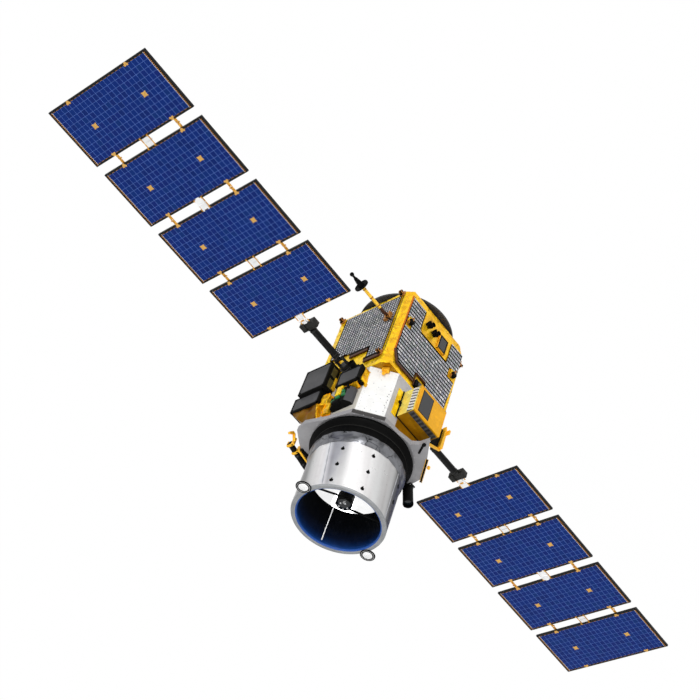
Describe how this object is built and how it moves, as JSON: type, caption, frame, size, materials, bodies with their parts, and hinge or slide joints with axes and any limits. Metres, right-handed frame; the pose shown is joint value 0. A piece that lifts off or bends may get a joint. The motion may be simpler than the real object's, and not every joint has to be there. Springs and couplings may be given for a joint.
{
  "type": "earth imaging satellite",
  "caption": "Box-shaped imaging satellite with gold film, tiled radiators, an open telescope tube and a folding solar wing on a turning boom at each side",
  "frame": {"origin": "centre of the launch ring's bottom face", "axes": "+Z from the launch ring to the telescope mouth, +Y towards the left wing, +X out of the front face with the sensors"},
  "size_m": [1.696, 9.858, 3.25],
  "materials": {
    "black_metal": "black anodised alloy, satin",
    "gold_foil": "crinkled golden multilayer insulation film",
    "radiator_tiles": "rows of small silvered radiator tiles",
    "white_panel": "matt white thermal paint",
    "grey_panel": "matt light grey thermal paint",
    "bright_metal": "bright rolled alloy sheet",
    "black_paint": "matt black paint",
    "mirror_coat": "polished silvered mirror",
    "white_paint": "satin white paint",
    "dark_glass": "smoked filter glass, dull",
    "dark_panel": "charcoal box lids, matt",
    "gold_metal": "gold-anodised strip and bracket, satin",
    "bronze_bracket": "dark bronze fitting",
    "carbon_tube": "woven black fibre tube, matt",
    "solar_cells": "blue cells under cover glass on a black sheet"
  },
  "bodies": {
    "core": {"launch_ring": "black_metal", "bus_body": "gold_foil", "front_radiator": "radiator_tiles", "rear_radiator": "radiator_tiles", "left_radiator": "radiator_tiles", "right_radiator": "radiator_tiles", "payload_section": "white_panel", "payload_deck": "grey_panel", "telescope_tube": "bright_metal", "base_ring": "black_paint", "primary_mirror": "mirror_coat", "secondary_hub": "black_paint", "secondary_struts": "white_paint", "rim_tags": "white_paint", "baffle_bracket": "black_metal", "camera_baffle": "black_paint", "imager_box": "gold_foil", "imager_window": "dark_glass", "imager_foot": "gold_foil", "electronics_boxes": "dark_panel", "faceted_unit": "black_paint", "foil_blocks": "gold_foil", "star_trackers": "black_paint", "front_window": "dark_glass", "front_block": "black_paint", "antenna_base": "gold_metal", "antenna_mast": "gold_metal", "antenna_disc": "black_paint", "antenna_tip": "black_paint", "hold_downs": "bronze_bracket", "deck_brackets": "gold_metal", "side_bar": "black_paint", "left_drive_housing": "black_metal", "right_drive_housing": "black_metal"},
    "left_drive_arm": {"left_drive_fork": "black_metal"},
    "left_boom_arm": {"left_boom": "carbon_tube", "left_boom_head": "black_metal"},
    "left_wing_1": {"left_panel_1": "solar_cells", "left_hinges_1": "gold_metal"},
    "left_wing_2": {"left_panel_2": "solar_cells", "left_hinges_2": "gold_metal"},
    "left_wing_3": {"left_panel_3": "solar_cells", "left_hinges_3": "gold_metal"},
    "left_wing_4": {"left_panel_4": "solar_cells", "left_hinges_4": "gold_metal"},
    "right_drive_arm": {"right_drive_fork": "black_metal"},
    "right_boom_arm": {"right_boom": "carbon_tube", "right_boom_head": "black_metal"},
    "right_wing_1": {"right_panel_1": "solar_cells", "right_hinges_1": "gold_metal"},
    "right_wing_2": {"right_panel_2": "solar_cells", "right_hinges_2": "gold_metal"},
    "right_wing_3": {"right_panel_3": "solar_cells", "right_hinges_3": "gold_metal"},
    "right_wing_4": {"right_panel_4": "solar_cells", "right_hinges_4": "gold_metal"}
  },
  "joints": [
    {"name": "left_array_drive", "type": "hinge", "parent": "core", "child": "left_drive_arm", "pos_m": [0, 0.66, 1.37], "axis": [0, 1, 0], "continuous": true},
    {"name": "left_boom_fold", "type": "hinge", "parent": "left_drive_arm", "child": "left_boom_arm", "pos_m": [0, 0.77, 1.37], "axis": [-1, 0, 0], "range_deg": [0, 90]},
    {"name": "left_panel_1_hinge", "type": "hinge", "parent": "left_boom_arm", "child": "left_wing_1", "pos_m": [0, 1.436, 1.405], "axis": [1, 0, 0], "range_deg": [0, 180]},
    {"name": "left_panel_2_hinge", "type": "hinge", "parent": "left_wing_1", "child": "left_wing_2", "pos_m": [0, 2.324, 1.348], "axis": [-1, 0, 0], "range_deg": [0, 180]},
    {"name": "left_panel_3_hinge", "type": "hinge", "parent": "left_wing_2", "child": "left_wing_3", "pos_m": [0, 3.212, 1.392], "axis": [1, 0, 0], "range_deg": [0, 180]},
    {"name": "left_panel_4_hinge", "type": "hinge", "parent": "left_wing_3", "child": "left_wing_4", "pos_m": [0, 4.1, 1.348], "axis": [-1, 0, 0], "range_deg": [0, 180]},
    {"name": "right_array_drive", "type": "hinge", "parent": "core", "child": "right_drive_arm", "pos_m": [0.19, -0.66, 1.37], "axis": [0, -1, 0], "continuous": true},
    {"name": "right_boom_fold", "type": "hinge", "parent": "right_drive_arm", "child": "right_boom_arm", "pos_m": [0.19, -0.77, 1.37], "axis": [1, 0, 0], "range_deg": [0, 90]},
    {"name": "right_panel_1_hinge", "type": "hinge", "parent": "right_boom_arm", "child": "right_wing_1", "pos_m": [0.19, -1.436, 1.405], "axis": [-1, 0, 0], "range_deg": [0, 180]},
    {"name": "right_panel_2_hinge", "type": "hinge", "parent": "right_wing_1", "child": "right_wing_2", "pos_m": [0.19, -2.324, 1.348], "axis": [1, 0, 0], "range_deg": [0, 180]},
    {"name": "right_panel_3_hinge", "type": "hinge", "parent": "right_wing_2", "child": "right_wing_3", "pos_m": [0.19, -3.212, 1.392], "axis": [-1, 0, 0], "range_deg": [0, 180]},
    {"name": "right_panel_4_hinge", "type": "hinge", "parent": "right_wing_3", "child": "right_wing_4", "pos_m": [0.19, -4.1, 1.348], "axis": [1, 0, 0], "range_deg": [0, 180]}
  ],
  "couplings": [
    {"joint": "left_panel_1_hinge", "follows": "left_boom_fold", "ratio": 2},
    {"joint": "left_panel_2_hinge", "follows": "left_boom_fold", "ratio": 2},
    {"joint": "left_panel_3_hinge", "follows": "left_boom_fold", "ratio": 2},
    {"joint": "left_panel_4_hinge", "follows": "left_boom_fold", "ratio": 2},
    {"joint": "right_panel_1_hinge", "follows": "right_boom_fold", "ratio": 2},
    {"joint": "right_panel_2_hinge", "follows": "right_boom_fold", "ratio": 2},
    {"joint": "right_panel_3_hinge", "follows": "right_boom_fold", "ratio": 2},
    {"joint": "right_panel_4_hinge", "follows": "right_boom_fold", "ratio": 2}
  ]
}
